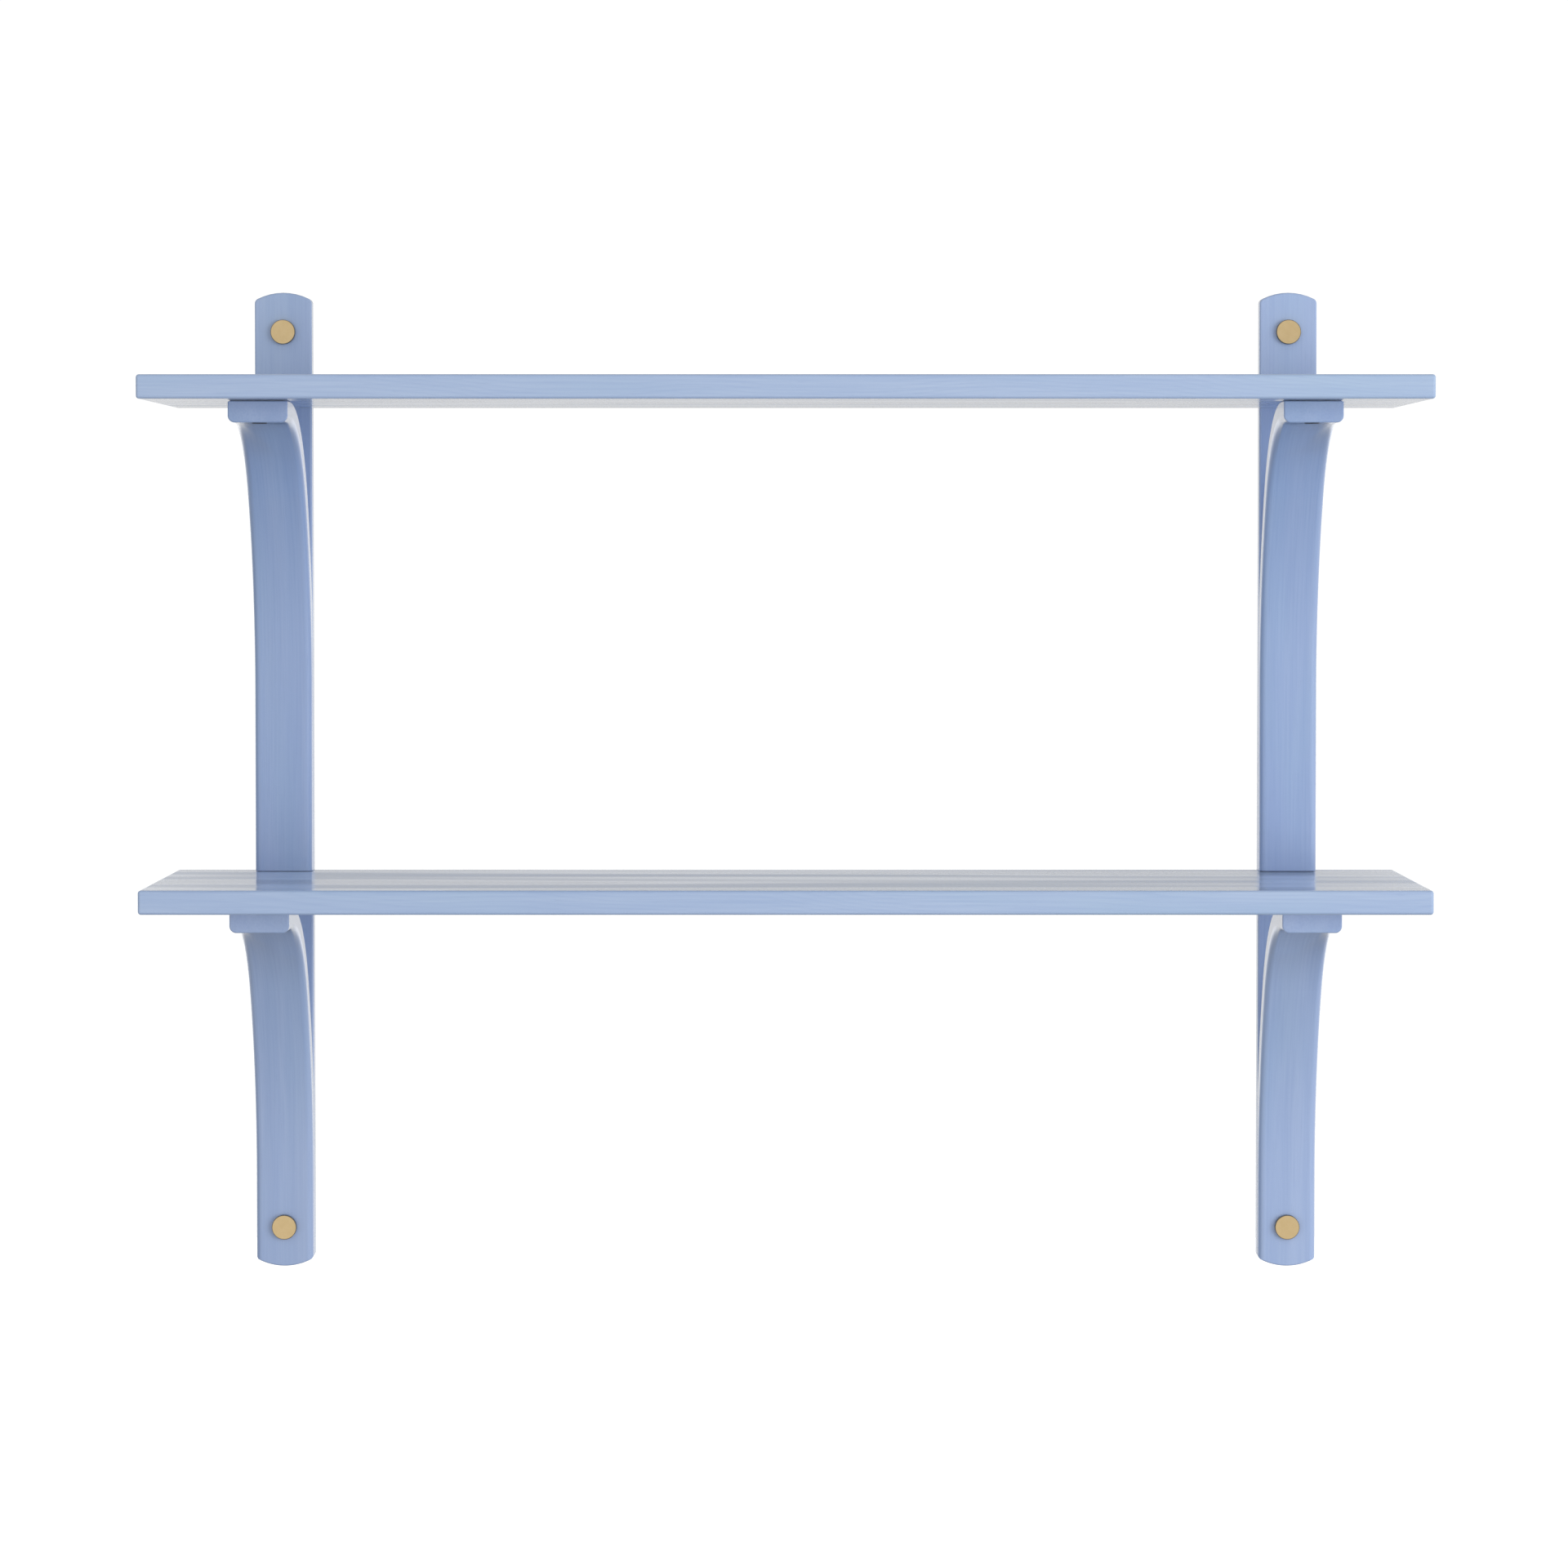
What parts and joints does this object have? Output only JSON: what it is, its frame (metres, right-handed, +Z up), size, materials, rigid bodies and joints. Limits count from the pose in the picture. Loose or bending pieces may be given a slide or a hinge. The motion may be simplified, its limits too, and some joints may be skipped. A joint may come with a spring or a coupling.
{
  "type": "wall shelf with brackets",
  "caption": "Wall shelf with painted boards carried by curved bent-wood arms on flat uprights, screwed to the wall under flat brass caps.",
  "frame": {"origin": "centre of the four wall screws, on the wall's surface", "axes": "+X along the boards, -Y from the wall to the front, +Y into the wall along the wall screws, +Z up"},
  "size_m": [0.9, 0.25, 0.717],
  "materials": {
    "painted_wood": "pale blue satin lacquer with the grain showing",
    "brass": "satin brass",
    "black_steel": "black-coated steel",
    "zinc_steel": "bright zinc plate"
  },
  "bodies": {
    "root": {"upper_shelf": "painted_wood", "lower_shelf": "painted_wood", "left_upright": "painted_wood", "right_upright": "painted_wood", "upper_left_arm": "painted_wood", "upper_left_arm_screws": "zinc_steel", "upper_left_board_screw": "black_steel", "upper_right_arm": "painted_wood", "upper_right_arm_screws": "zinc_steel", "upper_right_board_screw": "black_steel", "lower_left_arm": "painted_wood", "lower_left_arm_screws": "zinc_steel", "lower_left_board_screw": "black_steel", "lower_right_arm": "painted_wood", "lower_right_arm_screws": "zinc_steel", "lower_right_board_screw": "black_steel", "top_left_wall_screw": "zinc_steel", "top_left_cap": "brass", "top_right_wall_screw": "zinc_steel", "top_right_cap": "brass", "bottom_left_wall_screw": "zinc_steel", "bottom_left_cap": "brass", "bottom_right_wall_screw": "zinc_steel", "bottom_right_cap": "brass"}
  },
  "joints": []
}
